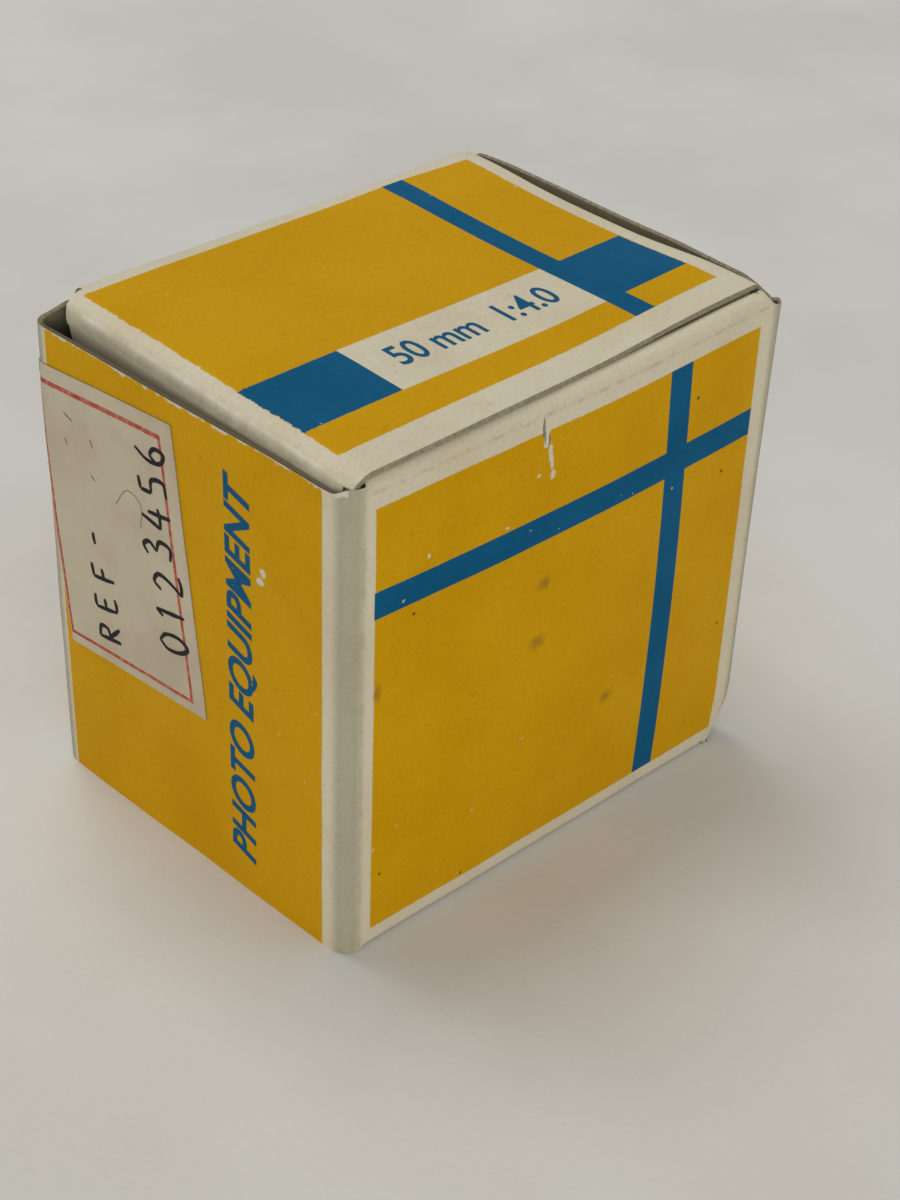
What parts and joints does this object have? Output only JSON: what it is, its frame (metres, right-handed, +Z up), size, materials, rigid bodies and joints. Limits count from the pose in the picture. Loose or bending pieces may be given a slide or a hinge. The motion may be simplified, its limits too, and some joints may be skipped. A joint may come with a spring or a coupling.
{
  "type": "boxed enlarger lens",
  "caption": "Enlarger lens with a screw mount and an aperture ring, kept in its small hinged-lid paperboard carton with a card insert.",
  "frame": {"origin": "middle of the carton's bottom panel, on the ground face", "axes": "+X runs along the front wall to its right end, +Y points from the front wall to the hinged back wall, +Z is up"},
  "size_m": [0.0633, 0.0474, 0.059],
  "materials": {
    "printed_board": "satin coated print",
    "plain_board": "uncoated grey board",
    "label_paper": "matte, soiled",
    "insert_card": "matte white card",
    "corrugated_board": "matte brown kraft",
    "leaflet_paper": "matte",
    "black_metal": "satin black",
    "ring_metal": "semi-gloss black",
    "iris_metal": "matte black",
    "bright_steel": "fine turned",
    "optical_glass": "polished and coated",
    "cap_plastic": "fine matte"
  },
  "bodies": {
    "carton": {"front_wall": "printed_board", "back_wall": "printed_board", "left_wall": "printed_board", "right_wall": "printed_board", "glue_flap": "plain_board", "bottom_panel": "printed_board", "bottom_left_ear": "plain_board", "bottom_right_ear": "plain_board", "bottom_dust_flap": "plain_board", "stock_label": "label_paper", "insert_platform": "insert_card", "insert_left_leg": "insert_card", "insert_right_leg": "insert_card", "corrugated_pad": "corrugated_board", "instruction_leaflet": "leaflet_paper"},
    "lid": {"lid_panel": "printed_board"},
    "lid_left_ear": {"lid_left_ear": "printed_board"},
    "lid_right_ear": {"lid_right_ear": "printed_board"},
    "front_dust_flap": {"front_dust_flap": "plain_board"},
    "lens": {"main_barrel": "black_metal", "rear_cell": "black_metal", "rear_retaining_ring": "black_metal", "rear_crown_element": "optical_glass", "rear_flint_element": "optical_glass", "iris_base_ring": "iris_metal", "front_cell": "black_metal", "middle_element": "optical_glass", "spacer_ring": "black_metal", "front_element": "optical_glass", "front_retaining_ring": "black_metal", "index_collar": "black_metal", "grub_screw_1": "bright_steel", "grub_screw_2": "bright_steel", "grub_screw_3": "bright_steel", "front_cap": "cap_plastic", "rear_cap": "cap_plastic"},
    "aperture_ring": {"aperture_ring": "ring_metal", "aperture_drive_pin": "bright_steel", "iris_cam_ring": "iris_metal"},
    "iris_blade_1": {"iris_blade_1": "iris_metal"},
    "iris_blade_2": {"iris_blade_2": "iris_metal"},
    "iris_blade_3": {"iris_blade_3": "iris_metal"},
    "iris_blade_4": {"iris_blade_4": "iris_metal"},
    "iris_blade_5": {"iris_blade_5": "iris_metal"},
    "iris_blade_6": {"iris_blade_6": "iris_metal"}
  },
  "joints": [
    {"name": "lid_hinge", "type": "hinge", "parent": "carton", "child": "lid", "pos_m": [0, 0.0237, 0.0574], "axis": [-1, 0, 0], "range_deg": [0, 120]},
    {"name": "front_dust_flap_hinge", "type": "hinge", "parent": "carton", "child": "front_dust_flap", "pos_m": [0, -0.0219, 0.058], "axis": [1, 0, 0], "range_deg": [0, 90]},
    {"name": "lid_left_ear_fold", "type": "hinge", "parent": "lid", "child": "lid_left_ear", "pos_m": [-0.0276, 0, 0.05735], "axis": [0, -1, 0], "range_deg": [0, 12]},
    {"name": "lid_right_ear_fold", "type": "hinge", "parent": "lid", "child": "lid_right_ear", "pos_m": [0.0276, 0, 0.05735], "axis": [0, 1, 0], "range_deg": [0, 12]},
    {"name": "lens_lift", "type": "slide", "parent": "carton", "child": "lens", "axis": [0, 0, 1], "range_m": [0, 0.018]},
    {"name": "aperture_turn", "type": "hinge", "parent": "lens", "child": "aperture_ring", "pos_m": [0, 0, 0.022], "axis": [0, 0, 1], "range_deg": [0, 60]},
    {"name": "iris_blade_1_pivot", "type": "hinge", "parent": "lens", "child": "iris_blade_1", "pos_m": [0.0146, 0, 0.0217], "axis": [0, 0, 1], "range_deg": [0, 28]},
    {"name": "iris_blade_2_pivot", "type": "hinge", "parent": "lens", "child": "iris_blade_2", "pos_m": [0.0073, 0.01264, 0.0217], "axis": [0, 0, 1], "range_deg": [0, 28]},
    {"name": "iris_blade_3_pivot", "type": "hinge", "parent": "lens", "child": "iris_blade_3", "pos_m": [-0.0073, 0.01264, 0.0217], "axis": [0, 0, 1], "range_deg": [0, 28]},
    {"name": "iris_blade_4_pivot", "type": "hinge", "parent": "lens", "child": "iris_blade_4", "pos_m": [-0.0146, 0, 0.0217], "axis": [0, 0, 1], "range_deg": [0, 28]},
    {"name": "iris_blade_5_pivot", "type": "hinge", "parent": "lens", "child": "iris_blade_5", "pos_m": [-0.0073, -0.01264, 0.0217], "axis": [0, 0, 1], "range_deg": [0, 28]},
    {"name": "iris_blade_6_pivot", "type": "hinge", "parent": "lens", "child": "iris_blade_6", "pos_m": [0.0073, -0.01264, 0.0217], "axis": [0, 0, 1], "range_deg": [0, 28]}
  ],
  "couplings": [
    {"joint": "front_dust_flap_hinge", "follows": "lid_hinge", "ratio": 0.75},
    {"joint": "iris_blade_1_pivot", "follows": "aperture_turn", "ratio": 0.46667},
    {"joint": "iris_blade_2_pivot", "follows": "aperture_turn", "ratio": 0.46667},
    {"joint": "iris_blade_3_pivot", "follows": "aperture_turn", "ratio": 0.46667},
    {"joint": "iris_blade_4_pivot", "follows": "aperture_turn", "ratio": 0.46667},
    {"joint": "iris_blade_5_pivot", "follows": "aperture_turn", "ratio": 0.46667},
    {"joint": "iris_blade_6_pivot", "follows": "aperture_turn", "ratio": 0.46667}
  ]
}
